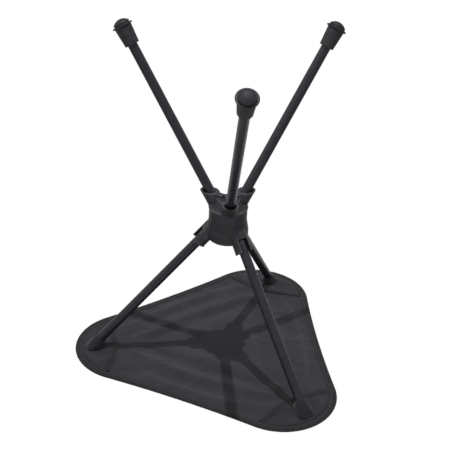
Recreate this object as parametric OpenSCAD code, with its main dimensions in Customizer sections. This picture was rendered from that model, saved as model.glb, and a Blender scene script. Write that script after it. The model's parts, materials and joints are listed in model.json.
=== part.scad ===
// Three leg camp stool. A leg hub holds three splayed legs, and a seat hub swivels on top of it and
// holds three hinged arms that stretch a triangular fabric seat. Origin in the middle of the seat's
// upper face, on the swivel axis.

/* [Frame] */
// Outside diameter of the leg and arm tubes
tube_d = 14.5; // [12:0.5:15]
// Wall of the tubes
tube_wall = 1.2; // [1:0.1:1.6]
// Length of a leg's axis, from the point where the leg axes meet to the foot's flange
leg_reach = 329.5; // [280:0.5:380]
// Angle of each leg from the vertical
leg_splay = 33; // [31:0.5:35]
// Length of an arm's axis, from the point where the arm axes meet to the end of the tube
arm_reach = 312.5; // [305:0.5:320]
// Angle of each arm from the vertical
arm_splay = 40.5; // [39:0.5:42]
// How far the seat is turned on its swivel, away from arms midway between the legs
seat_turn = 28.3; // [0:0.1:60]

/* [Hub] */
// Diameter of the leg hub where the seat hub turns on it
hub_d = 60; // [57:0.5:61]
// Diameter of the seat hub's skirt, where the forks grow out of it
skirt_d = 64; // [63:0.5:68]
// Outside diameter of an arm's fork
fork_d = 26; // [25:0.5:28]
// Distance of the fork's pin along the arm's axis
pin_reach = 52; // [51:0.5:53]
// Diameter of the hinge pins
pin_d = 4; // [3:0.5:5]
// Diameter of the swivel bolt
bolt_d = 8; // [6:1:10]

/* [Seat] */
// Radius of the seat's rounded corners
corner_r = 88; // [80:1:92]
// Distance from the middle of the seat to the tip of a corner
corner_reach = 237; // [234:1:243]
// How far each side curves in between two corners
side_sag = 4; // [3:0.5:10]
// Width of the binding sewn round the edge
binding_w = 11; // [8:0.5:14]
// Distance from the middle of the seat to the nearest point of a corner patch
patch_reach = 168; // [155:1:175]

/* [Hidden] */

$fn = 96;
run_gap = 0.05;                // radial clearance where one piece turns or slides in another
lap = 0.01;                    // overlap that keeps a cut clean
tube_r = tube_d / 2;
tube_bore_r = tube_r - tube_wall;

// Foot, measured along the leg's axis from the top of its flange
foot_sleeve_l = 28.7;
foot_sleeve_r = [10.85, 12.9];  // at its open end and at the flange
foot_flange_r = 15.5;
foot_flange_t = 2.6;
foot_neck_l = 0.8;
foot_neck_r = 11.4;
foot_pad_r = 12.4;
foot_pad_l = 1.8;
foot_dome_h = 6;
foot_dome_start = foot_flange_t + foot_neck_l + foot_pad_l;
foot_dome_r = (pow(foot_pad_r, 2) + pow(foot_dome_h, 2)) / (2 * foot_dome_h);
foot_dome_z = foot_dome_start + foot_dome_h - foot_dome_r;

// Heights, down from the top of the seat at z = 0
arm_end_drop = 10.9;           // the middle of an arm's end lies this far down
arm_apex_z = -arm_end_drop - arm_reach * cos(arm_splay);
leg_apex_z = arm_apex_z + 23;  // the leg axes meet above the arm axes, so the legs cross below the hub
split_z = leg_apex_z - 28.5;   // the seat hub turns on the leg hub here
mouth_z = leg_apex_z - 48.7;   // the horns of the leg hub end here

// Leg sockets, measured along the leg's axis
leg_start = 46.6;
peg_l = 75;
peg_chamfer = 2;
horn_throat_r = 12.4;
horn_mouth_r = 13.6;
horn_start = 32;
horn_end = 78;
horn_flare_l = 30;
horn_flare_r = (pow(horn_flare_l, 2) + pow(horn_mouth_r - horn_throat_r, 2))
               / (2 * (horn_mouth_r - horn_throat_r));
funnel_start = 52;
funnel_l = 8;
funnel_r = 9.8;

// Leg hub between its horns
core_z = mouth_z + 6.5;
core_r = [17, 23];             // at its lower end and where it meets the collar
collar_z = split_z - 3;
collar_bevel = 1;
rib_w = 10;
rib_start = 9;
rib_end = 30;
rib_z = mouth_z + 2;

// Seat hub: heights above the split
hub_r = hub_d / 2;
neck_r = hub_r - 1;
neck_z = split_z + 19;
skirt_r = skirt_d / 2;
skirt_z = [split_z + 36, split_z + 48];
hub_top_z = split_z + 52;

// Forks and knuckles, measured along the arm's axis
fork_reach = 68.5;
fork_gap = tube_d + 1;
fork_flat = tube_r + 2.2;      // the outer side of a fork is cut flat here
fork_open_out = pin_reach - 4;   // the slot is open on the outer side from here
fork_open_in = pin_reach - 2.5;  // and on the inner side from here; its edge stops the arm when folded
eye_room_r = tube_r + 0.6;
fork_lip_r = fork_d / 2 + 0.5;
fork_lip_l = 2.4;
arm_start = pin_reach + 3;
plug_l = 25;
knuckle_back = 6;
knuckle_back_r = 4;
knuckle_bevel = 2.8;

// Swivel
washer_t = 1.5;
washer_r = 20;
bush_r = bolt_d / 2 + 2.5;
nut_floor_z = split_z + 27;
bush_flange_t = 1;
nut_h = 8;
nut_r = 7.5;
nut_well_r = 12.5;
bolt_end_l = 5;                // thread that stands out of the nut
bolt_head_r = 7.2;
bolt_head_h = 4.6;
bolt_head_bevel = 2.4;

// Seat layers. The cloth is pressed thinner where the binding holds its edge, so its upper face is
// level with the binding's
binding_wall = 0.8;
fabric_t = 1.6;
fabric_edge_t = 0.75;
patch_t = 1;
patch_slant = 15;              // each half of a patch's inner edge slants back this much
soft_gap = 0.05;
binding_edge = 1.5;            // the cloth stops this far inside the binding's fold
binding_t = 2 * binding_wall + fabric_edge_t + 2 * soft_gap;
corner_c = corner_reach - corner_r;
cap_l = 2.2;                   // of an arm's tip cap, beyond the tube
pocket_wall = 1.6;
pocket_l = 12;

// Seat outline: each side is an arc that touches the corner arcs at both of its ends
side_mid = corner_c / 2 + corner_r - side_sag;
side_c = (pow(corner_c, 2) - pow(corner_r - side_mid, 2)) / (2 * side_sag);
side_r = side_c - side_mid;
corner_turn = atan2(side_c * sin(60), side_c * cos(60) - corner_c);
corner_steps = 20;
side_steps = 8;

function leg_azimuth(k) = 90 + 120 * (k - 1);
function arm_azimuth(k) = 30 + seat_turn + 120 * (k - 1);

function polar(r, a) = r * [cos(a), sin(a)];

// Points round corner k, and then along the side that follows it
function corner_arc(k, inset) = [for (i = [0:corner_steps])
    polar(corner_c, arm_azimuth(k))
    + polar(corner_r - inset, arm_azimuth(k) + corner_turn * (2 * i / corner_steps - 1))];
function side_arc(k, inset) = [for (i = [1:side_steps - 1])
    polar(side_c, arm_azimuth(k) + 60)
    + polar(side_r + inset, arm_azimuth(k) + 240 + (corner_turn - 60) * (1 - 2 * i / side_steps))];

// Places its children with z along leg k, from the point where the leg axes meet
module on_leg(k) {
    rotate([0, 0, leg_azimuth(k)])
        translate([0, 0, leg_apex_z])
            rotate([0, 180 - leg_splay, 0])
                children();
}

// Places its children with z along arm k; y is the arm's hinge axis and x points down and out
module on_arm(k) {
    rotate([0, 0, arm_azimuth(k)])
        translate([0, 0, arm_apex_z])
            rotate([0, arm_splay, 0])
                children();
}

// ---- Leg hub and swivel ----

// Outside of one horn, as a solid of revolution along the leg's axis
module horn() {
    flare_start = horn_end - horn_flare_l;
    rotate_extrude()
        union() {
            translate([0, horn_start])
                square([horn_throat_r, flare_start - horn_start + lap]);
            difference() {
                translate([0, flare_start])
                    square([horn_mouth_r, horn_flare_l]);
                translate([horn_throat_r + horn_flare_r, flare_start])
                    circle(r = horn_flare_r, $fn = 360);
            }
        }
}

// Room for the leg's tube and the funnel around it
module horn_socket() {
    translate([0, 0, leg_start - 0.5])
        cylinder(h = horn_end - leg_start + 1, r = tube_r + run_gap);
    translate([0, 0, funnel_start])
        cylinder(h = funnel_l, r1 = tube_r, r2 = funnel_r);
    translate([0, 0, funnel_start + funnel_l - lap])
        cylinder(h = horn_end - funnel_start, r = funnel_r);
}

// Peg that the leg's tube slides over
module leg_peg() {
    translate([0, 0, horn_start])
        cylinder(h = peg_l - horn_start - peg_chamfer, r = tube_bore_r - run_gap);
    translate([0, 0, peg_l - peg_chamfer - lap])
        cylinder(h = peg_chamfer, r1 = tube_bore_r - run_gap, r2 = tube_bore_r - peg_chamfer);
}

// Rib from the middle of the hub out to one horn
module hub_rib(k) {
    rotate(leg_azimuth(k))
        translate([rib_start, -rib_w / 2, rib_z])
            cube([rib_end - rib_start, rib_w, split_z - rib_z - 1]);
}

module leg_hub_body() {
    difference() {
        union() {
            translate([0, 0, core_z])
                cylinder(h = collar_z - core_z + lap, r1 = core_r[0], r2 = core_r[1]);
            translate([0, 0, collar_z])
                cylinder(h = collar_bevel, r1 = hub_r - collar_bevel, r2 = hub_r);
            translate([0, 0, collar_z + collar_bevel - lap])
                cylinder(h = split_z - collar_z - collar_bevel + lap, r = hub_r);
            for (k = [1:3])
                hub_rib(k);
            intersection() {
                translate([0, 0, mouth_z])
                    cylinder(h = split_z - mouth_z, r = 80);
                union() {
                    for (k = [1:3])
                        on_leg(k)
                            horn();
                }
            }
        }
        for (k = [1:3])
            on_leg(k)
                horn_socket();
        translate([0, 0, mouth_z])
            cylinder(h = split_z - mouth_z + 1, r = bolt_d / 2);
    }
}

module leg_hub() {
    color([0.13, 0.13, 0.15])
        union() {
            leg_hub_body();
            intersection() {
                translate([0, 0, mouth_z - 40])
                    cylinder(h = split_z - mouth_z + 38, r = 80);
                union() {
                    for (k = [1:3])
                        on_leg(k)
                            leg_peg();
                }
            }
        }
}

module swivel_bolt() {
    color([0.32, 0.32, 0.34])
        union() {
            translate([0, 0, core_z])
                cylinder(h = nut_floor_z + bush_flange_t + washer_t + nut_h + bolt_end_l - core_z,
                         r = bolt_d / 2);
            translate([0, 0, core_z - bolt_head_h / 2])
                cylinder(h = bolt_head_h / 2, r = bolt_head_r);
            translate([0, 0, core_z - bolt_head_h])
                cylinder(h = bolt_head_h / 2, r1 = bolt_head_r - bolt_head_bevel, r2 = bolt_head_r);
        }
}

module washer(z, outer_r, t) {
    translate([0, 0, z])
        difference() {
            cylinder(h = t, r = outer_r);
            translate([0, 0, -1])
                cylinder(h = t + 2, r = bolt_d / 2);
        }
}

module thrust_washer() {
    color([0.85, 0.85, 0.80])
        washer(split_z, washer_r, washer_t);
}

module nut_washer() {
    color([0.55, 0.55, 0.57])
        washer(nut_floor_z + bush_flange_t + run_gap, nut_well_r - 2, washer_t);
}

module lock_nut() {
    color([0.50, 0.50, 0.52])
        translate([0, 0, nut_floor_z + bush_flange_t + run_gap + washer_t])
            difference() {
                cylinder(h = nut_h, r = nut_r, $fn = 6);
                translate([0, 0, -1])
                    cylinder(h = nut_h + 2, r = bolt_d / 2);
            }
}

// ---- Legs ----

module leg_tube(k) {
    color([0.15, 0.15, 0.17])
        on_leg(k)
            translate([0, 0, leg_start])
                difference() {
                    cylinder(h = leg_reach - leg_start, r = tube_r);
                    translate([0, 0, -1])
                        cylinder(h = leg_reach - leg_start + 2, r = tube_bore_r);
                }
}

// Half section of a foot: y runs along the leg's axis from the top of the flange
module foot_section() {
    difference() {
        union() {
            polygon([[0, -foot_sleeve_l], [foot_sleeve_r[0], -foot_sleeve_l],
                     [foot_sleeve_r[1], 0], [0, 0]]);
            square([foot_flange_r - foot_flange_t / 2, foot_flange_t]);
            translate([foot_flange_r - foot_flange_t / 2, foot_flange_t / 2])
                circle(d = foot_flange_t);
            translate([0, foot_flange_t - lap])
                square([foot_neck_r, foot_neck_l + 2 * lap]);
            translate([0, foot_flange_t + foot_neck_l])
                square([foot_pad_r, foot_pad_l + lap]);
            intersection() {
                translate([0, foot_dome_z])
                    circle(r = foot_dome_r, $fn = 180);
                translate([0, foot_dome_start])
                    square([foot_pad_r, foot_dome_h + 1]);
            }
        }
        translate([-1, -foot_sleeve_l - 1])
            square([tube_r + 1, foot_sleeve_l + 1]);
    }
}

module foot(k) {
    color([0.09, 0.09, 0.10])
        on_leg(k)
            translate([0, 0, leg_reach])
                rotate_extrude()
                    foot_section();
}

// ---- Seat hub and arms ----

// One fork, before its slot is cut: a round bar, cut flat on its outer side, with a lip at its end
module fork_body() {
    intersection() {
        union() {
            cylinder(h = fork_reach, r = fork_d / 2);
            translate([0, 0, fork_reach - fork_lip_l])
                cylinder(h = fork_lip_l, r = fork_lip_r);
        }
        translate([fork_flat - 2 * fork_d, -fork_d, 0])
            cube([2 * fork_d, 2 * fork_d, fork_reach + 1]);
    }
}

// Room for the knuckle's round end, and for the arm as it folds up and in
module fork_slot() {
    translate([0, 0, pin_reach])
        rotate([90, 0, 0])
            cylinder(h = fork_gap, r = eye_room_r, center = true);
    translate([0, -fork_gap / 2, fork_open_out])
        cube([fork_d + 20, fork_gap, fork_reach]);
    translate([-fork_d - 6, -fork_gap / 2, fork_open_in])
        cube([fork_d + 6 + lap, fork_gap, fork_reach]);
    translate([0, 0, pin_reach])
        rotate([90, 0, 0])
            cylinder(h = fork_d + 4, r = pin_d / 2, center = true);
}

// Turned barrel: a neck above the split, then a skirt that the forks grow out of
module seat_hub_barrel() {
    rotate_extrude()
        polygon([[0, split_z], [hub_r - 1, split_z], [neck_r, neck_z], [skirt_r, skirt_z[0]],
                 [skirt_r, skirt_z[1]], [skirt_r - 4, hub_top_z], [0, hub_top_z]]);
}

module seat_hub() {
    color([0.20, 0.20, 0.22])
        difference() {
            union() {
                seat_hub_barrel();
                intersection() {
                    for (k = [1:3])
                        on_arm(k)
                            fork_body();
                    translate([0, 0, split_z])
                        cylinder(h = 200, r = 100);
                }
            }
            for (k = [1:3])
                on_arm(k)
                    fork_slot();
            translate([0, 0, split_z - 1])
                cylinder(h = washer_t + run_gap + 1, r = washer_r + 0.5);
            translate([0, 0, split_z - 1])
                cylinder(h = nut_floor_z - split_z + 2, r = bush_r);
            translate([0, 0, nut_floor_z])
                cylinder(h = 60, r = nut_well_r);
        }
}

module swivel_bush() {
    color([0.80, 0.80, 0.74])
        difference() {
            union() {
                translate([0, 0, split_z + washer_t + run_gap])
                    cylinder(h = nut_floor_z - split_z - washer_t - run_gap + 0.5, r = bush_r);
                translate([0, 0, nut_floor_z])
                    cylinder(h = bush_flange_t, r = nut_well_r - 1);
            }
            translate([0, 0, split_z])
                cylinder(h = nut_floor_z - split_z + 5, r = bolt_d / 2 + run_gap);
        }
}

module hinge_pins() {
    color([0.60, 0.60, 0.62])
        for (k = [1:3])
            on_arm(k)
                translate([0, 0, pin_reach])
                    rotate([90, 0, 0])
                        cylinder(h = fork_d - 1, r = pin_d / 2, center = true);
}

module pin_bore() {
    translate([0, 0, pin_reach])
        rotate([90, 0, 0])
            cylinder(h = fork_d, r = pin_d / 2 + run_gap, center = true);
}

module arm_tube(k) {
    color([0.15, 0.15, 0.17])
        on_arm(k)
            translate([0, 0, arm_start])
                difference() {
                    cylinder(h = arm_reach - arm_start, r = tube_r);
                    translate([0, 0, -1])
                        cylinder(h = arm_reach - arm_start + 2, r = tube_bore_r);
                }
}

// Half section of a knuckle: y runs along the arm's axis from the pin. The bevel keeps its inner end
// inside the round room of the fork as it turns
module knuckle_section() {
    polygon([[0, -knuckle_back], [knuckle_back_r, -knuckle_back], [tube_r, -knuckle_bevel],
             [tube_r, arm_start - pin_reach], [tube_bore_r, arm_start - pin_reach],
             [tube_bore_r, arm_start - pin_reach + plug_l], [0, arm_start - pin_reach + plug_l]]);
}

// Plug in the tube's inner end, with a bevelled end that turns on the pin
module arm_knuckle(k) {
    color([0.20, 0.20, 0.22])
        on_arm(k)
            difference() {
                translate([0, 0, pin_reach])
                    rotate_extrude()
                        knuckle_section();
                pin_bore();
            }
}

module arm_tip_cap(k) {
    color([0.09, 0.09, 0.10])
        on_arm(k)
            union() {
                translate([0, 0, arm_reach - 14])
                    cylinder(h = 14, r = tube_bore_r);
                translate([0, 0, arm_reach])
                    cylinder(h = 1, r = tube_r);
                translate([0, 0, arm_reach + 1 - lap])
                    cylinder(h = cap_l - 1, r1 = tube_r, r2 = tube_r - 1.2);
            }
}

// ---- Seat ----

// Triangle with round corners and sides that curve in, drawn a given distance inside the seat's edge
module seat_outline(inset = 0) {
    polygon([for (k = [1:3]) each concat(corner_arc(k, inset), side_arc(k, inset))]);
}

// One flat layer of the seat, drawn a given distance inside the seat's edge
module seat_layer(top_z, t, inset) {
    translate([0, 0, top_z - t])
        linear_extrude(height = t)
            seat_outline(inset);
}

module seat_fabric() {
    color([0.23, 0.23, 0.24])
        union() {
            seat_layer(0, fabric_t, binding_w + soft_gap);
            seat_layer(-binding_wall - soft_gap, fabric_edge_t, binding_edge);
        }
}

module seat_binding() {
    color([0.12, 0.12, 0.13])
        difference() {
            seat_layer(0, binding_t, 0);
            seat_layer(1, binding_t + 2, binding_w);
            seat_layer(-binding_wall, fabric_edge_t + 2 * soft_gap, binding_edge - soft_gap);
        }
}

// Second layer of cloth under one corner, with a blunt point towards the middle
module corner_patch(k) {
    color([0.15, 0.15, 0.16])
        translate([0, 0, -fabric_t - soft_gap - patch_t])
            linear_extrude(height = patch_t)
                intersection() {
                    seat_outline(binding_w + 0.2);
                    rotate(arm_azimuth(k))
                        polygon([[patch_reach, 0], [patch_reach + corner_r * tan(patch_slant), -corner_r],
                                 [corner_reach, -corner_r], [corner_reach, corner_r],
                                 [patch_reach + corner_r * tan(patch_slant), corner_r]]);
                }
}

// Closed sleeve under the corner that takes the end of the arm
module tip_pocket(k) {
    ceiling_z = -fabric_t - patch_t - 3 * soft_gap;
    color([0.11, 0.11, 0.12])
        intersection() {
            on_arm(k)
                difference() {
                    translate([0, 0, arm_reach - pocket_l])
                        cylinder(h = pocket_l + cap_l + pocket_wall, r = tube_r + pocket_wall);
                    translate([0, 0, arm_reach - pocket_l - 1])
                        cylinder(h = pocket_l + 1 + cap_l + soft_gap, r = tube_r + soft_gap);
                }
            translate([0, 0, ceiling_z - 100])
                cylinder(h = 100, r = corner_reach);
        }
}

leg_hub();
swivel_bolt();
thrust_washer();
nut_washer();
lock_nut();
leg_tube(1);  // leg_tube_1
leg_tube(2);  // leg_tube_2
leg_tube(3);  // leg_tube_3
foot(1);  // foot_1
foot(2);  // foot_2
foot(3);  // foot_3
seat_hub();
swivel_bush();
hinge_pins();
arm_tube(1);  // arm_tube_1
arm_tube(2);  // arm_tube_2
arm_tube(3);  // arm_tube_3
arm_knuckle(1);  // arm_knuckle_1
arm_knuckle(2);  // arm_knuckle_2
arm_knuckle(3);  // arm_knuckle_3
arm_tip_cap(1);  // arm_tip_cap_1
arm_tip_cap(2);  // arm_tip_cap_2
arm_tip_cap(3);  // arm_tip_cap_3
seat_fabric();
seat_binding();
corner_patch(1);  // corner_patch_1
corner_patch(2);  // corner_patch_2
corner_patch(3);  // corner_patch_3
tip_pocket(1);  // tip_pocket_1
tip_pocket(2);  // tip_pocket_2
tip_pocket(3);  // tip_pocket_3
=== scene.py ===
"""Looks of the three leg stool: sewn cloth seat, moulded hub, materials, lights and camera.

The stool stands upright in the frame. The camera looks at it from below and is rolled over, because the
stool was photographed upside down, standing on its seat.
"""
import json
import math

import bpy
import numpy as np
from mathutils import Matrix, Vector


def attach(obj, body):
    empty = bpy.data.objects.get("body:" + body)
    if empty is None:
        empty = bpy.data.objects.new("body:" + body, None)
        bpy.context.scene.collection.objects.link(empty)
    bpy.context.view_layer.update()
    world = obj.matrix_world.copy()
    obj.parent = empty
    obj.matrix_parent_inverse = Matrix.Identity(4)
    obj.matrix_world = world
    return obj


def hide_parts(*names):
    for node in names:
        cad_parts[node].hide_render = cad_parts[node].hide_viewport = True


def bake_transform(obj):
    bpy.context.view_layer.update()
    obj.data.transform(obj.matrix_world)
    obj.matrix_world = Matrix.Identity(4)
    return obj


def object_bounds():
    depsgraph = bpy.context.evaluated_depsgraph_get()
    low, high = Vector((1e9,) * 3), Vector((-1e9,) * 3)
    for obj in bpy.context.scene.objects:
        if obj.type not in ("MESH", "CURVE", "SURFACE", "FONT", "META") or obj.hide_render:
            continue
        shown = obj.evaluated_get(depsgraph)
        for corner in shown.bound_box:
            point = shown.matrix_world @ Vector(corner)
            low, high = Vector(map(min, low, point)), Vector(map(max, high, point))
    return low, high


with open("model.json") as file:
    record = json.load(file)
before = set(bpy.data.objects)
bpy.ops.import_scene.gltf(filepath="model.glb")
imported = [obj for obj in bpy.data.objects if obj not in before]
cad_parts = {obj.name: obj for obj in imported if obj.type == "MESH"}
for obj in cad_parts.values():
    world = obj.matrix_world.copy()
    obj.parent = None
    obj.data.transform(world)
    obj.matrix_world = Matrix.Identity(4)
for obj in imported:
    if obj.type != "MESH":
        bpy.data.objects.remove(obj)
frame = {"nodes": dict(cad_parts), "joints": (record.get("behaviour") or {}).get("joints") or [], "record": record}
CAD_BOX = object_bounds()

# ---- Sizes, in metres, and places taken from the frame ----

MM = 0.001
JOINTS = {joint["name"]: joint for joint in frame["joints"]}
HINGES = [Vector(JOINTS[f"arm_{k}_fold"]["pos_m"]) for k in (1, 2, 3)]
ARM_AZIMUTHS = [math.atan2(hinge.y, hinge.x) for hinge in HINGES]
SIXTH = math.pi / 3

SEAT_TOP = CAD_BOX[1].z
CLOTH_T = 1.0 * MM
CLOTH_Z = SEAT_TOP - 1.1 * MM            # middle of the seat cloth
FLOOR_Z = CAD_BOX[0].z
CORNER_R = 88 * MM
SIDE_SAG = 4 * MM
BINDING_W = 11 * MM
CORNER_REACH = max(math.hypot(v.co.x, v.co.y) for v in frame["nodes"]["seat_binding"].data.vertices)
CORNER_C = CORNER_REACH - CORNER_R
SIDE_MID = CORNER_C / 2 + CORNER_R - SIDE_SAG
SIDE_C = (CORNER_C**2 - (CORNER_R - SIDE_MID) ** 2) / (2 * SIDE_SAG)
SIDE_R = SIDE_C - SIDE_MID
PATCH_REACH = 168 * MM
PATCH_SLANT = math.tan(math.radians(15))
PATCH_HALF = 66 * MM
PATCH_T = 0.7 * MM
HEM_W = 9 * MM
POCKET_REACH = 205 * MM                  # to the middle of a pocket's foot
HELD_REACH = 170 * MM                    # beyond this the arms hold the cloth while it settles
CAMERA_TILT = math.radians(29.86)        # how far the photographed view is off level
CAMERA_ROLL = math.radians(2.46)
CAMERA_SWING = math.radians(84.7)        # from the camera's right to leg 1, seen from above
CAMERA_DISTANCE = 1.4457
LAMP_HEIGHT = 2.0                        # above the swivel, in the photographed pose


def flat(azimuth):
    """Level unit vector at an azimuth in radians."""
    return np.array([math.cos(azimuth), math.sin(azimuth), 0.0])


# ---- Node materials ----

class Paint:
    """A node material under construction, with short ways to add and link nodes."""

    def __init__(self, name, roughness=0.5):
        self.material = bpy.data.materials.new(name)
        self.material.use_nodes = True
        self.tree = self.material.node_tree
        self.shader = self.tree.nodes["Principled BSDF"]
        self.shader.inputs["Roughness"].default_value = roughness
        self.place = self.add("ShaderNodeTexCoord").outputs["Object"]

    def add(self, kind, inputs=None, **settings):
        node = self.tree.nodes.new(kind)
        for key, value in settings.items():
            setattr(node, key, value)
        for key, value in (inputs or {}).items():
            if isinstance(value, bpy.types.NodeSocket):
                self.tree.links.new(value, node.inputs[key])
            else:
                node.inputs[key].default_value = value
        return node

    def math(self, operation, a, b=0.0):
        return self.add("ShaderNodeMath", {0: a, 1: b}, operation=operation).outputs[0]

    def noise(self, scale, detail=4.0, roughness=0.55, vector=None):
        inputs = {"Vector": vector or self.place, "Scale": scale, "Detail": detail, "Roughness": roughness}
        return self.add("ShaderNodeTexNoise", inputs).outputs["Fac"]

    def stretch(self, x, y, z):
        """Place coordinates scaled along each axis, for grain that runs one way."""
        return self.add("ShaderNodeMapping", {"Vector": self.place, "Scale": (x, y, z)}).outputs[0]

    def ramp(self, value, low, high, dark, light):
        """value from low to high becomes a colour from dark to light."""
        node = self.add("ShaderNodeMapRange", {"Value": value, "From Min": low, "From Max": high})
        mix = self.add("ShaderNodeMix", {0: node.outputs[0]}, data_type="RGBA")
        mix.inputs[6].default_value = (*dark, 1)
        mix.inputs[7].default_value = (*light, 1)
        return mix.outputs[2]

    def span(self, value, low, high, out_low, out_high):
        inputs = {"Value": value, "From Min": low, "From Max": high, "To Min": out_low, "To Max": out_high}
        return self.add("ShaderNodeMapRange", inputs).outputs[0]

    def lighten(self, colour, amount, light):
        """colour mixed towards light by amount, a value socket."""
        mix = self.add("ShaderNodeMix", {0: amount, 6: colour}, data_type="RGBA")
        mix.inputs[7].default_value = (*light, 1)
        return mix.outputs[2]

    def set(self, name, value):
        if isinstance(value, bpy.types.NodeSocket):
            self.tree.links.new(value, self.shader.inputs[name])
        else:
            self.shader.inputs[name].default_value = value

    def bump(self, height, distance, strength=1.0, below=None):
        inputs = {"Height": height, "Distance": distance, "Strength": strength}
        if below:
            inputs["Normal"] = below
        normal = self.add("ShaderNodeBump", inputs).outputs[0]
        self.set("Normal", normal)
        return normal


def tube_coating():
    """Satin black powder coat: fine orange peel, and faint rub marks."""
    p = Paint("tube_coating")
    rub = p.noise(90, 6, 0.7)
    p.set("Base Color", p.ramp(rub, 0.35, 0.75, (0.009, 0.010, 0.015), (0.020, 0.021, 0.028)))
    p.set("Roughness", p.span(p.noise(260, 3), 0.3, 0.7, 0.34, 0.48))
    p.set("Specular IOR Level", 0.55)
    p.bump(p.noise(1500, 2), 0.05 * MM, 0.35)
    return p.material


def hub_plastic():
    """Moulded nylon: fine spark texture, edges that have gone pale with handling."""
    p = Paint("hub_plastic")
    cloudy = p.ramp(p.noise(55, 5), 0.3, 0.7, (0.013, 0.014, 0.017), (0.023, 0.024, 0.029))
    edge = p.add("ShaderNodeAttribute", attribute_name="edge").outputs["Fac"]
    worn = p.math("MULTIPLY", edge, p.span(p.noise(140, 4), 0.35, 0.65, 0.2, 1.0))
    p.set("Base Color", p.lighten(cloudy, worn, (0.08, 0.08, 0.09)))
    p.set("Roughness", p.span(p.noise(400, 3), 0.3, 0.7, 0.48, 0.62))
    p.bump(p.noise(2600, 2), 0.08 * MM, 0.5)
    return p.material


def foot_rubber():
    """Matt black rubber with a dusty bloom and a pitted surface."""
    p = Paint("foot_rubber")
    bloom = p.noise(120, 6, 0.7)
    p.set("Base Color", p.ramp(bloom, 0.35, 0.75, (0.010, 0.011, 0.015), (0.032, 0.033, 0.038)))
    p.set("Roughness", p.span(bloom, 0.3, 0.7, 0.55, 0.75))
    p.bump(p.noise(1800, 3), 0.08 * MM, 0.4)
    return p.material


def steel(name, colour, roughness):
    """Turned or plated steel with fine lines and small scratches."""
    p = Paint(name)
    lines = p.noise(1.0, 3, 0.6, p.stretch(300, 300, 2500))
    light = tuple(min(1.0, c * 1.35) for c in colour)
    p.set("Base Color", p.ramp(lines, 0.3, 0.7, colour, light))
    p.set("Metallic", 1.0)
    p.set("Roughness", p.span(lines, 0.3, 0.7, roughness - 0.07, roughness + 0.07))
    p.bump(lines, 0.02 * MM, 0.3)
    return p.material


def plain_plastic(name, dark, light):
    """Turned or moulded plastic with a faint grain."""
    p = Paint(name)
    grain = p.noise(240, 4)
    p.set("Base Color", p.ramp(grain, 0.3, 0.7, dark, light))
    p.set("Roughness", p.span(grain, 0.3, 0.7, 0.42, 0.58))
    p.bump(p.noise(1700, 2), 0.05 * MM, 0.3)
    return p.material


def woven(name, dark, light, thread, relief):
    """Plain weave: threads cross at right angles, with uneven yarn, soft fading, and a painted highlight along the
    crests of folds and gathers.
    """
    p = Paint(name, 0.85)
    parts = p.add("ShaderNodeSeparateXYZ", {0: p.place}).outputs
    wobble = p.span(p.noise(60, 3), 0.3, 0.7, -0.3 * thread, 0.3 * thread)
    warp = p.math("SINE", p.math("MULTIPLY", p.math("ADD", parts[0], wobble), math.pi / thread))
    weft = p.math("SINE", p.math("MULTIPLY", p.math("ADD", parts[1], wobble), math.pi / thread))
    cross = p.span(p.math("MULTIPLY", warp, weft), -1, 1, 0, 1)
    yarn = p.noise(1.0, 3, 0.6, p.stretch(40, 900, 40))
    pick = p.noise(1.0, 3, 0.6, p.stretch(900, 40, 40))
    uneven = p.math("MULTIPLY", p.math("ADD", yarn, pick), 0.5)
    tone = p.math("ADD", p.math("MULTIPLY", cross, 0.45), p.math("MULTIPLY", uneven, 0.55))
    cloth = p.ramp(tone, 0.2, 0.8, dark, light)
    # Painted highlight: the cloth is paler along the crests of folds and gathers, added to the random fading
    # below.
    crest_highlight = p.add("ShaderNodeAttribute", attribute_name="crest_highlight").outputs["Fac"]
    fading_and_crest_highlight = p.math("ADD", p.span(p.noise(14, 4), 0.35, 0.7, 0.0, 0.22), crest_highlight)
    paler = p.lighten(cloth, fading_and_crest_highlight, tuple(2.2 * c for c in light))
    # The patch cloth is darker along its hem.
    folded = p.add("ShaderNodeAttribute", attribute_name="folded").outputs["Fac"]
    p.set("Base Color", p.lighten(paler, folded, tuple(0.35 * c for c in light)))
    p.set("Sheen Weight", 0.18)
    p.set("Sheen Roughness", 0.45)
    p.set("Specular IOR Level", 0.25)
    soft = p.bump(p.noise(180, 3), 0.25 * MM, 0.35)
    p.bump(cross, relief, 0.8, soft)
    return p.material


def ribbed_tape():
    """Woven tape: ribs across its width, which run along the texture's first direction."""
    p = Paint("binding_tape", 0.8)
    run = p.add("ShaderNodeSeparateXYZ", {0: p.add("ShaderNodeUVMap", uv_map="tape").outputs[0]}).outputs
    rib = p.span(p.math("SINE", p.math("MULTIPLY", run[0], 2 * math.pi / (0.9 * MM))), -1, 1, 0, 1)
    mottle = p.math("ADD", p.math("MULTIPLY", rib, 0.35), p.math("MULTIPLY", p.noise(160, 5), 0.65))
    p.set("Base Color", p.ramp(mottle, 0.25, 0.75, (0.008, 0.008, 0.010), (0.022, 0.021, 0.025)))
    p.set("Sheen Weight", 0.15)
    p.set("Sheen Roughness", 0.4)
    p.set("Specular IOR Level", 0.25)
    p.bump(rib, 0.12 * MM, 0.6)
    return p.material


def thread():
    """Twisted sewing thread, a little lighter than the cloth."""
    p = Paint("thread", 0.6)
    twist = p.noise(1400, 2)
    p.set("Base Color", p.ramp(twist, 0.3, 0.7, (0.030, 0.030, 0.033), (0.085, 0.085, 0.09)))
    p.set("Sheen Weight", 0.2)
    p.bump(twist, 0.08 * MM, 0.6)
    return p.material


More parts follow.
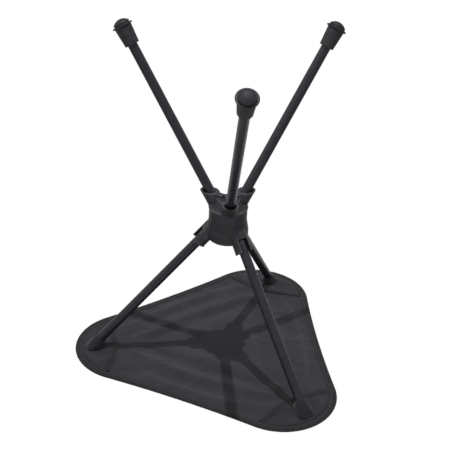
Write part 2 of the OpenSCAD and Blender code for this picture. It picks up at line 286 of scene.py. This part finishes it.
MATERIALS = {
    "tube_coating": tube_coating(),
    "hub_plastic": hub_plastic(),
    "foot_rubber": foot_rubber(),
    "bolt_steel": steel("bolt_steel", (0.10, 0.10, 0.11), 0.42),
    "nut_steel": steel("nut_steel", (0.42, 0.42, 0.44), 0.32),
    "pin_steel": steel("pin_steel", (0.07, 0.07, 0.075), 0.42),
    "bearing_plastic": plain_plastic("bearing_plastic", (0.55, 0.54, 0.49), (0.68, 0.67, 0.62)),
    "knuckle_plastic": plain_plastic("knuckle_plastic", (0.018, 0.018, 0.020), (0.032, 0.032, 0.035)),
    "seat_cloth": woven("seat_cloth", (0.012, 0.012, 0.015), (0.028, 0.027, 0.033), 0.7 * MM, 0.12 * MM),
    "patch_cloth": woven("patch_cloth", (0.009, 0.009, 0.012), (0.021, 0.021, 0.026), 0.6 * MM, 0.10 * MM),
    "binding_tape": ribbed_tape(),
    "thread": thread(),
}


# ---- Cloth pieces as rings of closed sections ----

def seat_edge(azimuths, inset):
    """Distance from the swivel axis to the seat's outline, drawn inset inside the edge, at each azimuth."""
    corner_r = CORNER_R - inset
    side_r = SIDE_R + inset
    turn = math.atan2(SIDE_C * math.sin(SIXTH), SIDE_C * math.cos(SIXTH) - CORNER_C)
    join = math.atan2(corner_r * math.sin(turn), CORNER_C + corner_r * math.cos(turn))
    third = 2 * SIXTH
    off = np.abs((np.asarray(azimuths) - ARM_AZIMUTHS[0] + SIXTH) % third - SIXTH)
    corner = CORNER_C * np.cos(off) + np.sqrt(np.maximum(corner_r**2 - (CORNER_C * np.sin(off)) ** 2, 0))
    side = SIDE_C * np.cos(SIXTH - off) - np.sqrt(side_r**2 - (SIDE_C * np.sin(SIXTH - off)) ** 2)
    return np.where(off < join, corner, side)


def ring_normals(points):
    """Smooth normals of a ring of closed sections, shaped [stations, section points, 3]."""
    along = np.roll(points, -1, 0) - np.roll(points, 1, 0)
    around = np.roll(points, -1, 1) - np.roll(points, 1, 1)
    normals = np.cross(around, along)
    return normals / np.maximum(np.linalg.norm(normals, axis=2, keepdims=True), 1e-12)


def new_mesh(name, verts, faces, material, uv=None, normals=None):
    """Adds a piece with one material."""
    mesh = bpy.data.meshes.new(name)
    mesh.from_pydata(np.asarray(verts).tolist(), [], faces)
    mesh.materials.append(MATERIALS[material])
    if uv is not None:
        layer = mesh.uv_layers.new(name="tape")
        index = np.zeros(len(mesh.loops), np.int32)
        mesh.loops.foreach_get("vertex_index", index)
        layer.data.foreach_set("uv", np.asarray(uv, np.float32)[index].ravel())
    mesh.shade_smooth()
    if normals is not None:
        mesh.normals_split_custom_set_from_vertices(np.asarray(normals).tolist())
    piece = bpy.data.objects.new(name, mesh)
    bpy.context.scene.collection.objects.link(piece)
    return piece


def strip_faces(stations, width, closed):
    """Quads of a strip of closed sections, capped at both ends unless the strip is a closed ring."""
    faces = []
    for i in range(stations if closed else stations - 1):
        a = i * width
        b = (i + 1) % stations * width
        for j in range(width):
            n = (j + 1) % width
            faces.append((a + j, a + n, b + n, b + j))
    if not closed:
        faces.append(tuple(reversed(range(width))))
        faces.append(tuple((stations - 1) * width + j for j in range(width)))
    return faces


def bend_with_arm(piece):
    """Bakes the piece's placement into its mesh; the piece is not attached to the seat hub or an arm.
    """
    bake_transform(piece)
    return piece


def sixths_of_ring(name, points, material, uv=None):
    """Cuts a ring of closed sections into six pieces, at the arms and midway between them."""
    normals = ring_normals(points)
    stations, width = points.shape[:2]
    step = stations // 6
    pieces = []
    for sixth in range(6):
        rows = [(sixth * step + i) % stations for i in range(step + 1)]
        part_uv = None
        if uv is not None:
            part_uv = uv[rows].reshape(-1, 2)
        piece = new_mesh(
            f"{name}_{sixth + 1}",
            points[rows].reshape(-1, 3),
            strip_faces(step + 1, width, False),
            material,
            part_uv,
            normals[rows].reshape(-1, 3),
        )
        pieces.append(bend_with_arm(piece))
    return pieces


# ---- Seat cloth ----

def side_distance(points):
    """How far points lie inside the nearest side's tangent line, and how far along that side, in metres."""
    best = None
    along = None
    for k in range(3):
        out = flat(ARM_AZIMUTHS[k] + SIXTH)
        depth = SIDE_MID - points @ out
        run = points @ flat(ARM_AZIMUTHS[k] + SIXTH + math.pi / 2)
        if best is None:
            best = depth
            along = run
        else:
            nearer = depth < best
            best = np.where(nearer, depth, best)
            along = np.where(nearer, run, along)
    return best, along


def corner_reach_of(points):
    """How far each point lies out along the nearest arm."""
    return np.max([points @ flat(azimuth) for azimuth in ARM_AZIMUTHS], axis=0)


# Distance inside a side, width and height in millimetres, and how rounded each fold is
FOLDS = ((27, 6, 2.0, 1.3), (45, 9, -1.3, 2), (64, 8, 1.3, 1.6), (84, 12, -1.0, 2), (108, 12, 0.9, 2))


def stretch_folds(points):
    """Long shallow folds from corner to corner where the cloth is pulled; they end at the patches."""
    depth, along = side_distance(points)
    folds = np.zeros(len(points))
    for centre, width, height, power in FOLDS:
        bow = centre * MM + 0.10 * along**2 / SIDE_MID
        folds -= height * MM * np.exp(-(np.abs((depth - bow) / (width * MM)) ** power))
    middle = np.clip(1 - np.abs(along) / (150 * MM), 0, 1) ** 0.5
    ease_in = np.clip(depth / (14 * MM), 0, 1)
    ease_out = np.clip((PATCH_REACH - corner_reach_of(points)) / (40 * MM), 0, 1)
    return folds * middle * ease_in * ease_out


def polar_grid(stations, reaches, edge_inset):
    """Points of the seat's plan on spokes, shaped [stations, reaches, 3]; reaches run from 0 to 1."""
    azimuths = ARM_AZIMUTHS[0] + np.arange(stations) * 2 * math.pi / stations
    spokes = np.stack([np.cos(azimuths), np.sin(azimuths), np.zeros(stations)], axis=1)
    lengths = seat_edge(azimuths, edge_inset)
    return spokes[:, None, :] * (lengths[:, None] * np.asarray(reaches)[None, :])[:, :, None]


def relax_cloth(points):
    """Lets the folded sheet settle as cloth held at its edge and corners, and returns the heights."""
    stations, rings = points.shape[:2]
    flat_points = points.reshape(-1, 3)
    mesh = bpy.data.meshes.new("sheet_for_cloth")
    faces = []
    for station in range(stations):
        here = station * rings
        after = (station + 1) % stations * rings
        faces += [(here + r, after + r, after + r + 1, here + r + 1) for r in range(rings - 1)]
    mesh.from_pydata(flat_points.tolist(), [], faces)
    sheet = bpy.data.objects.new("sheet_for_cloth", mesh)
    bpy.context.scene.collection.objects.link(sheet)
    held = sheet.vertex_groups.new(name="held")
    at_edge = (np.arange(len(flat_points)) % rings) >= rings - 3
    at_corner = corner_reach_of(flat_points) > HELD_REACH
    held.add(np.nonzero(at_edge | at_corner)[0].tolist(), 1.0, "REPLACE")
    cloth = sheet.modifiers.new("cloth", "CLOTH")
    cloth.settings.quality = 5
    cloth.settings.mass = 0.15
    cloth.settings.tension_stiffness = 25
    cloth.settings.compression_stiffness = 8
    cloth.settings.bending_stiffness = 0.6
    cloth.settings.vertex_group_mass = "held"
    cloth.settings.shrink_min = -0.0025
    cloth.settings.effector_weights.gravity = 0.0
    for number in range(1, 13):
        bpy.context.scene.frame_set(number)
    settled = sheet.evaluated_get(bpy.context.evaluated_depsgraph_get()).to_mesh()
    heights = np.array([v.co.z for v in settled.vertices]) - CLOTH_Z
    bpy.context.scene.frame_set(1)
    bpy.data.objects.remove(sheet)
    return np.clip(heights, -3 * MM, 3 * MM).reshape(stations, rings)


def mark(piece, name, values):
    """Stores a value from 0 to 1 at each vertex, for the piece's material."""
    values = np.clip(np.asarray(values, np.float32).ravel(), 0, 1)
    piece.data.attributes.new(name, "FLOAT", "POINT").data.foreach_set("value", values)


def plan_points(piece):
    """The piece's vertices, moved level to z = 0."""
    points = np.array([v.co for v in piece.data.vertices])
    points[:, 2] = 0
    return points


def cloth_sheet():
    """The seat cloth, a thin closed sheet."""
    stations, rings = 360, 56
    reaches = np.linspace(0.001, 1.0, rings)
    middle = polar_grid(stations, reaches, 2.2 * MM)
    heights = stretch_folds(middle.reshape(-1, 3)).reshape(stations, rings)
    middle[:, :, 2] = CLOTH_Z + heights
    heights = relax_cloth(middle)
    middle[:, :, 2] = CLOTH_Z + heights
    half = np.array([0, 0, CLOTH_T / 2])
    section = np.concatenate([middle + half, (middle - half)[:, ::-1]], axis=1)
    pieces = sixths_of_ring("seat_cloth", section, "seat_cloth")
    for piece in pieces:
        # Painted highlight along the crests of the folds.
        mark(piece, "crest_highlight", -stretch_folds(plan_points(piece)) / (7 * MM))
        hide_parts("seat_fabric")


def binding_section():
    """Closed section of the folded tape, as distances in from the seat's edge and heights, in metres."""
    width = BINDING_W / MM
    outer = [(width, 1.0), (width - 0.4, 1.3), (width - 2.6, 1.28), (width * 0.5, 1.52)]
    outer += [(2.4, 1.5), (1.0, 1.25), (0.25, 0.7), (0.0, 0.0)]
    inner = [(1.6, 0.56), (width * 0.5, 0.56), (width, 0.56)]
    section = outer + [(d, -h) for d, h in reversed(outer[:-1])]
    section += [(d, -h) for d, h in reversed(inner)] + inner
    return np.array(section) * MM


def waves(run, length):
    """A sine of the distance run, which repeats every length."""
    return np.sin(2 * math.pi * run / length)


def folded_binding():
    """Tape folded over the edge of the cloth and sewn down, with a slight pucker at the stitches."""
    stations = 720
    azimuths = ARM_AZIMUTHS[0] + np.arange(stations) * 2 * math.pi / stations
    reach = seat_edge(azimuths, 0)
    rows = np.stack([reach * np.cos(azimuths), reach * np.sin(azimuths)], 1)
    along = np.roll(rows, -1, 0) - np.roll(rows, 1, 0)
    along /= np.linalg.norm(along, axis=1, keepdims=True)
    inward = np.stack([-along[:, 1], along[:, 0]], 1)
    run = np.concatenate([[0], np.cumsum(np.linalg.norm(np.diff(rows, axis=0), axis=1))])
    section = binding_section()
    pucker = 1 + 0.10 * waves(run, 7.3 * MM) + 0.07 * waves(run, 23 * MM)
    wander = 0.25 * MM * (waves(run, 61 * MM) + waves(run, 38 * MM))
    depth = section[None, :, 0] + wander[:, None] * (section[None, :, 0] / BINDING_W)
    height = section[None, :, 1] * pucker[:, None]
    points = np.zeros((stations, len(section), 3))
    points[:, :, :2] = rows[:, None, :] + inward[:, None, :] * depth[:, :, None]
    points[:, :, 2] = CLOTH_Z + height
    uv = np.zeros((stations, len(section), 2))
    uv[:, :, 0] = run[:, None]
    uv[:, :, 1] = section[None, :, 0]
    for piece in sixths_of_ring("seat_binding_tape", points, "binding_tape", uv):
        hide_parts("seat_binding")


def arm_place(k, u, v, z):
    """Points at distances u out along arm k and v across it, at height z."""
    out = flat(ARM_AZIMUTHS[k])
    across = flat(ARM_AZIMUTHS[k] + math.pi / 2)
    points = np.multiply.outer(np.asarray(u), out) + np.multiply.outer(np.asarray(v), across)
    points[..., 2] = z
    return points


def patch_inner(v):
    """Where the inner edge of a corner patch lies, out along the arm, v across it."""
    return PATCH_REACH + np.hypot(PATCH_SLANT * v, 3 * MM) - 3 * MM


def outline_out(v, inset):
    """Where the seat's rounded corner lies, out along the arm, v across it."""
    return CORNER_C + np.sqrt(np.maximum((CORNER_R - inset) ** 2 - np.asarray(v) ** 2, 0))


def gathers(u, v):
    """Small folds that fan out from a pocket, where the sewing pulls the cloth."""
    beyond = u - (POCKET_REACH - 1 * MM)
    from_pocket = np.hypot(beyond, v)
    turn = np.arctan2(v, beyond)
    near = np.clip(1 - np.abs(from_pocket - 36 * MM) / (30 * MM), 0, 1)
    return 0.9 * MM * near * (1 + np.sin(5 * turn + 1.2 * np.sin(2 * turn) + from_pocket / (14 * MM)))


def corner_patch(k):
    """Second layer of cloth under a corner, in two halves, with a folded hem along its inner edge."""
    for side in (1, -1):
        across = np.linspace(0, PATCH_HALF, 40) * side
        inner = patch_inner(across)[:, None]
        outer = outline_out(across, BINDING_W + 0.3 * MM)[:, None]
        hem = np.minimum(HEM_W, 0.6 * (outer - inner))
        hem_steps = np.array([0, 0.02, 0.05, 0.12, 0.3, 0.5, 0.7, 0.85, 0.96, 1.0])
        rest = np.linspace(0.04, 1, 15)
        u = np.concatenate([inner + hem * hem_steps, inner + hem + (outer - inner - hem) * rest], axis=1)
        thick = np.full(u.shape[1], PATCH_T)
        thick[: len(hem_steps)] = 1.45 * MM
        thick[0] = 0.6 * MM
        thick[1] = 1.15 * MM
        v = np.broadcast_to(across[:, None], u.shape)
        ease_in = np.clip((u - inner) / (20 * MM), 0, 1) * np.clip((outer - u) / (6 * MM), 0, 1)
        top = CLOTH_Z - CLOTH_T / 2 - 0.1 * MM
        high = arm_place(k, u, v, np.full(u.shape, top))
        heights = gathers(u, v) * ease_in
        low = arm_place(k, u, v, top - thick[None, :] - heights)[:, ::-1]
        points = np.concatenate([high, low], axis=1)
        # Painted highlight along the crests of the gathers.
        crest_highlight = np.concatenate([heights, heights[:, ::-1]], axis=1) / (7 * MM)
        # Marks the hem, where the patch cloth is darker.
        folded = np.zeros(u.shape)
        folded[:, : len(hem_steps)] = 0.7
        folded = np.concatenate([folded, folded[:, ::-1]], axis=1)
        if side < 0:
            points = points[::-1]
            crest_highlight = crest_highlight[::-1]
            folded = folded[::-1]
        name = f"corner_patch_cloth_{k + 1}{'a' if side > 0 else 'b'}"
        faces = strip_faces(points.shape[0], points.shape[1], False)
        piece = new_mesh(name, points.reshape(-1, 3), faces, "patch_cloth")
        mark(piece, "crest_highlight", crest_highlight)
        mark(piece, "folded", folded)
        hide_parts(f"corner_patch_{k + 1}")
        bend_with_arm(piece)


# ---- Pockets that take the arms' ends ----

def arm_axis(k, tube):
    """Point where arm k's hinge is, and unit vectors along the arm, across it and down and out from it."""
    hinge = np.array(HINGES[k])
    far_half = tube[np.linalg.norm(tube - hinge, axis=1) > 0.2]
    along = far_half.mean(0) - hinge
    along /= np.linalg.norm(along)
    across = flat(ARM_AZIMUTHS[k] + math.pi / 2)
    return hinge, along, across, np.cross(across, along)


def squared(values):
    """Sines or cosines of a circle, changed so that they draw a square with round corners."""
    return np.sign(values) * np.abs(values) ** 0.75


def tube_radius(tube, hinge, along):
    """Outside radius of a tube, from its vertices and its axis."""
    offset = tube - hinge
    return np.linalg.norm(offset - np.outer(offset @ along, along), axis=1).max()


def tip_pocket(k):
    """Cloth boot sewn to the patch, whose mouth closes round the arm's end."""
    tube = np.array([v.co for v in frame["nodes"][f"arm_tube_{k + 1}"].data.vertices])
    hinge, along, across, down_out = arm_axis(k, tube)
    tip = ((tube - hinge) @ along).max()
    turns = -np.linspace(0, 2 * math.pi, 64, endpoint=False)
    mouth_r = tube_radius(tube, hinge, along) + 0.5 * MM
    base_z = CLOTH_Z - CLOTH_T / 2 - PATCH_T - 0.5 * MM
    mouth = (
        hinge
        + along * (tip - 12 * MM)
        + np.outer(np.cos(turns), down_out) * mouth_r
        + np.outer(np.sin(turns), across) * mouth_r
    )
    out_share = squared(np.cos(turns))
    base_u = POCKET_REACH + 15.5 * MM * out_share
    base_v = (13.2 * MM + 4.3 * MM * out_share) * squared(np.sin(turns))
    base = arm_place(k, base_u, base_v, base_z)
    shares = np.array([0.0, 0.05, 0.1, 0.2, 0.32, 0.45, 0.6, 0.74, 0.86, 0.95, 1.0])
    rows = []
    for share in shares:
        ease = share**0.9
        belly = math.sin(math.pi * share) * 0.9 * MM
        ring = mouth * (1 - ease) + base * ease
        centre = ring.mean(0)
        outward = ring - centre
        outward /= np.linalg.norm(outward, axis=1, keepdims=True)
        creases = 0.45 * MM * math.sin(math.pi * share) * np.sin(5 * turns + 4 * share)
        rows.append(ring + outward * (belly + creases)[:, None])
    outer = np.array(rows)
    inner = []
    for row in outer[::-1]:
        centre = row.mean(0)
        outward = row - centre
        length = np.linalg.norm(outward, axis=1, keepdims=True)
        inner.append(centre + outward * (length - 1.0 * MM) / length)
    hem = outer[0] - (outer[1] - outer[0]) * 0.12
    points = np.concatenate([outer, np.array(inner), (hem * 0.5 + inner[-1] * 0.5)[None]], axis=0)
    points = points.transpose(1, 0, 2)
    piece = new_mesh(
        f"tip_pocket_cloth_{k + 1}",
        points.reshape(-1, 3),
        strip_faces(len(turns), points.shape[1], True),
        "patch_cloth",
    )
    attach(piece, f"arm_{k + 1}")
    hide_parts(f"tip_pocket_{k + 1}")


# ---- Stitches ----

def stitches(name, path, normal, pitch=4.0 * MM):
    """A row of short raised stitches over one sixth of the seat; normal points out of the cloth."""
    run = np.concatenate([[0], np.cumsum(np.linalg.norm(np.diff(path, axis=0), axis=1))])
    count = max(1, int(run[-1] / pitch))
    starts = (np.arange(count) + 0.12) * run[-1] / count
    length = 0.74 * run[-1] / count
    verts = []
    faces = []
    profile = [(0.0, 0.35), (0.12, 0.85), (0.5, 1.0), (0.88, 0.85), (1.0, 0.35)]
    sides = 6
    for begin in starts:
        for share, size in profile:
            at = begin + share * length
            place = np.array([np.interp(at, run, path[:, i]) for i in range(3)])
            ahead = np.array([np.interp(min(at + 1e-4, run[-1]), run, path[:, i]) for i in range(3)])
            behind = np.array([np.interp(max(at - 1e-4, 0), run, path[:, i]) for i in range(3)])
            tangent = (ahead - behind) / np.linalg.norm(ahead - behind)
            side = np.cross(normal, tangent)
            side /= np.linalg.norm(side)
            for i in range(sides):
                turn = 2 * math.pi * i / sides
                flat_share = side * math.cos(turn) * 0.34 * MM
                raised_share = normal * math.sin(turn) * 0.24 * MM
                verts.append(place + (flat_share + raised_share) * size)
        base = len(verts) - len(profile) * sides
        for ring in range(len(profile) - 1):
            for i in range(sides):
                a = base + ring * sides + i
                b = base + ring * sides + (i + 1) % sides
                faces.append((a, b, b + sides, a + sides))
        faces.append(tuple(base + i for i in reversed(range(sides))))
        faces.append(tuple(base + (len(profile) - 1) * sides + i for i in range(sides)))
    bend_with_arm(new_mesh(name, verts, faces, "thread"))


def binding_stitches():
    """One row near the inner edge of the binding, on both faces."""
    for sixth in range(6):
        azimuths = ARM_AZIMUTHS[0] + SIXTH * (sixth + np.linspace(0, 1, 90))
        reach = seat_edge(azimuths, BINDING_W - 2.6 * MM)
        for face, sign in (("top", 1), ("under", -1)):
            path = np.stack([reach * np.cos(azimuths), reach * np.sin(azimuths), 0 * azimuths], 1)
            path[:, 2] = CLOTH_Z + sign * 1.32 * MM
            stitches(f"binding_stitches_{face}_{sixth + 1}", path, np.array([0, 0, float(sign)]))


def patch_stitches(k):
    """Two rows along the hem of a corner patch, on the underside, and the same rows seen on top."""
    for side, letter in ((1, "a"), (-1, "b")):
        across = np.linspace(0.5 * MM, PATCH_HALF - 3 * MM, 30) * side
        for row, inset in ((1, 1.6 * MM), (2, HEM_W - 1.4 * MM)):
            u = patch_inner(across) + inset
            under = arm_place(k, u, across, CLOTH_Z - CLOTH_T / 2 - 1.42 * MM)
            over = arm_place(k, u, across, CLOTH_Z + CLOTH_T / 2 + 0.04 * MM)
            stitches(f"patch_stitches_under_{k + 1}{letter}{row}", under, np.array([0, 0, -1.0]))
            stitches(f"patch_stitches_top_{k + 1}{letter}{row}", over, np.array([0, 0, 1.0]))


# ---- Moulded hub halves ----

def soften(node, voxel, passes):
    """A copy of a CAD node with its edges and inner corners rounded, as a moulding has them."""
    piece = frame["nodes"][node].copy()
    piece.data = frame["nodes"][node].data.copy()
    piece.name = node + "_moulding"
    piece.parent = None
    for key in list(piece.keys()):
        del piece[key]
    bpy.context.scene.collection.objects.link(piece)
    remesh = piece.modifiers.new("remesh", "REMESH")
    remesh.mode = "VOXEL"
    remesh.voxel_size = voxel
    smooth = piece.modifiers.new("smooth", "SMOOTH")
    smooth.factor = 0.5
    smooth.iterations = passes
    graph = bpy.context.evaluated_depsgraph_get()
    mesh = bpy.data.meshes.new_from_object(piece.evaluated_get(graph))
    piece.modifiers.clear()
    piece.data = mesh
    mesh.materials.clear()
    mesh.materials.append(MATERIALS["hub_plastic"])
    mesh.shade_smooth()
    mark(piece, "edge", sharpness(mesh))
    return piece


def sharpness(mesh):
    """How sharply the surface turns outwards at each vertex; 1 or more is an edge."""
    co = np.zeros(len(mesh.vertices) * 3)
    mesh.vertices.foreach_get("co", co)
    co = co.reshape(-1, 3)
    normal = np.zeros(len(mesh.vertices) * 3)
    mesh.vertices.foreach_get("normal", normal)
    normal = normal.reshape(-1, 3)
    ends = np.zeros(len(mesh.edges) * 2, np.int64)
    mesh.edges.foreach_get("vertices", ends)
    ends = ends.reshape(-1, 2)
    total = np.zeros_like(co)
    count = np.zeros(len(co))
    for a, b in ((0, 1), (1, 0)):
        np.add.at(total, ends[:, a], co[ends[:, b]])
        np.add.at(count, ends[:, a], 1)
    offset = total / np.maximum(count, 1)[:, None] - co
    turn = -(offset * normal).sum(1)
    return turn / (0.035 * MM)


def moulded_hubs():
    """Both halves of the hub, with rounded edges in place of the CAD's sharp ones."""
    for node in ("leg_hub", "seat_hub"):
        piece = soften(node, 0.6 * MM, 5)
        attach(piece, node)
        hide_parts(node)


# ---- CAD pieces that stay ----

def paint_cad():
    """Gives every CAD node the material of its slot."""
    slots = {part["node"]: part["material_slot"] for part in frame["record"]["subparts"]}
    for name, node in frame["nodes"].items():
        node.data.materials.clear()
        node.data.materials.append(MATERIALS[slots[name]])


# ---- Floor, lights and camera ----

def make_floor():
    """Pale floor that shows only from above, so that it doesn't hide the stool from the low camera."""
    p = Paint("floor", 0.7)
    p.set("Base Color", p.ramp(p.noise(6, 3), 0.3, 0.7, (0.80, 0.80, 0.80), (0.84, 0.84, 0.84)))
    clear = p.add("ShaderNodeBsdfTransparent")
    back = p.add("ShaderNodeNewGeometry").outputs["Backfacing"]
    mix = p.add("ShaderNodeMixShader", {0: back, 1: p.shader.outputs[0], 2: clear.outputs[0]})
    output = p.tree.nodes["Material Output"]
    p.tree.links.new(mix.outputs[0], output.inputs["Surface"])
    mesh = bpy.data.meshes.new("floor")
    corners = [(x, y, FLOOR_Z) for x, y in ((-20, -20), (20, -20), (20, 20), (-20, 20))]
    mesh.from_pydata(corners, [], [(0, 1, 2, 3)])
    mesh.materials.append(p.material)
    floor = bpy.data.objects.new("floor", mesh)
    bpy.context.scene.collection.objects.link(floor)
    floor.visible_shadow = False


def make_camera():
    """The photographed view: 30 degrees off level, rolled a little, from below as the stool is upright."""
    leg_axis = JOINTS["leg_1_pull"]["axis"]
    turn = Matrix.Rotation(math.atan2(leg_axis[1], leg_axis[0]) - CAMERA_SWING, 3, "Z")
    forward = turn @ Vector((0, -math.cos(CAMERA_TILT), math.sin(CAMERA_TILT)))
    level_up = turn @ Vector((0, -math.sin(CAMERA_TILT), -math.cos(CAMERA_TILT)))
    level_right = turn @ Vector((1, 0, 0))
    right = math.cos(CAMERA_ROLL) * level_right + math.sin(CAMERA_ROLL) * level_up
    up = -math.sin(CAMERA_ROLL) * level_right + math.cos(CAMERA_ROLL) * level_up
    swivel = Vector(JOINTS["seat_swivel"]["pos_m"])
    target = swivel + turn @ Vector((-3.8 * MM, 0, 0)) + Vector((0, 0, 31.3 * MM))
    camera = bpy.data.objects.new("camera", bpy.data.cameras.new("camera"))
    bpy.context.scene.collection.objects.link(camera)
    camera.data.sensor_width = 36
    camera.data.lens = 76.2
    facing = Matrix((right, up, -forward)).transposed().to_4x4()
    camera.matrix_world = Matrix.Translation(target - forward * CAMERA_DISTANCE) @ facing
    bpy.context.scene.camera = camera
    return camera


def hang_light(name, data, camera, direction, place=(0, 0, 0)):
    """Adds a light that travels with the camera; direction and place are in the camera's own axes."""
    light = bpy.data.objects.new(name, data)
    bpy.context.scene.collection.objects.link(light)
    light.parent = camera
    turn = Vector(direction).to_track_quat("-Z", "Y").to_matrix().to_4x4()
    light.matrix_local = Matrix.Translation(place) @ turn
    light.visible_camera = False
    return light


def sun(name, energy, degrees, camera, direction):
    """Adds a distant light as wide as degrees, which travels with the camera."""
    data = bpy.data.lights.new(name, "SUN")
    data.energy = energy
    data.angle = math.radians(degrees)
    return hang_light(name, data, camera, direction)


def make_lights(camera):
    """A lamp overhead in the photographed pose, weak light from the side and off the ground, a pale wall."""
    lamp = bpy.data.lights.new("key", "POINT")
    lamp.energy = 107
    lamp.shadow_soft_size = 0.012
    above = LAMP_HEIGHT * Vector((0.035, math.cos(CAMERA_TILT), math.sin(CAMERA_TILT)))
    hang_light("key", lamp, camera, (0, -1, 0), Vector((0, 0, -CAMERA_DISTANCE)) + above)
    sun("side", 0.35, 25, camera, Vector((0.8, -0.35, -0.6)))
    sun("bounce", 0.8, 90, camera, Vector((0, 1, -0.1)))
    wall = bpy.data.lights.new("wall", "AREA")
    wall.size = 6.0
    wall.energy = 90
    hang_light("wall", wall, camera, (0, 0, 1), (0, 0.6, -5.0))
    world = bpy.data.worlds.new("room")
    world.use_nodes = True
    tree = world.node_tree
    background = tree.nodes["Background"]
    background.inputs["Color"].default_value = (1, 1, 1, 1)
    path = tree.nodes.new("ShaderNodeLightPath")
    strength = tree.nodes.new("ShaderNodeMapRange")
    strength.inputs["To Min"].default_value = 0.25
    strength.inputs["To Max"].default_value = 1.0
    tree.links.new(path.outputs["Is Camera Ray"], strength.inputs["Value"])
    tree.links.new(strength.outputs[0], background.inputs["Strength"])
    bpy.context.scene.world = world
    bpy.context.scene.view_settings.view_transform = "Standard"


paint_cad()
cloth_sheet()
folded_binding()
binding_stitches()
for arm in range(3):
    corner_patch(arm)
    patch_stitches(arm)
    tip_pocket(arm)
moulded_hubs()
make_floor()
make_lights(make_camera())
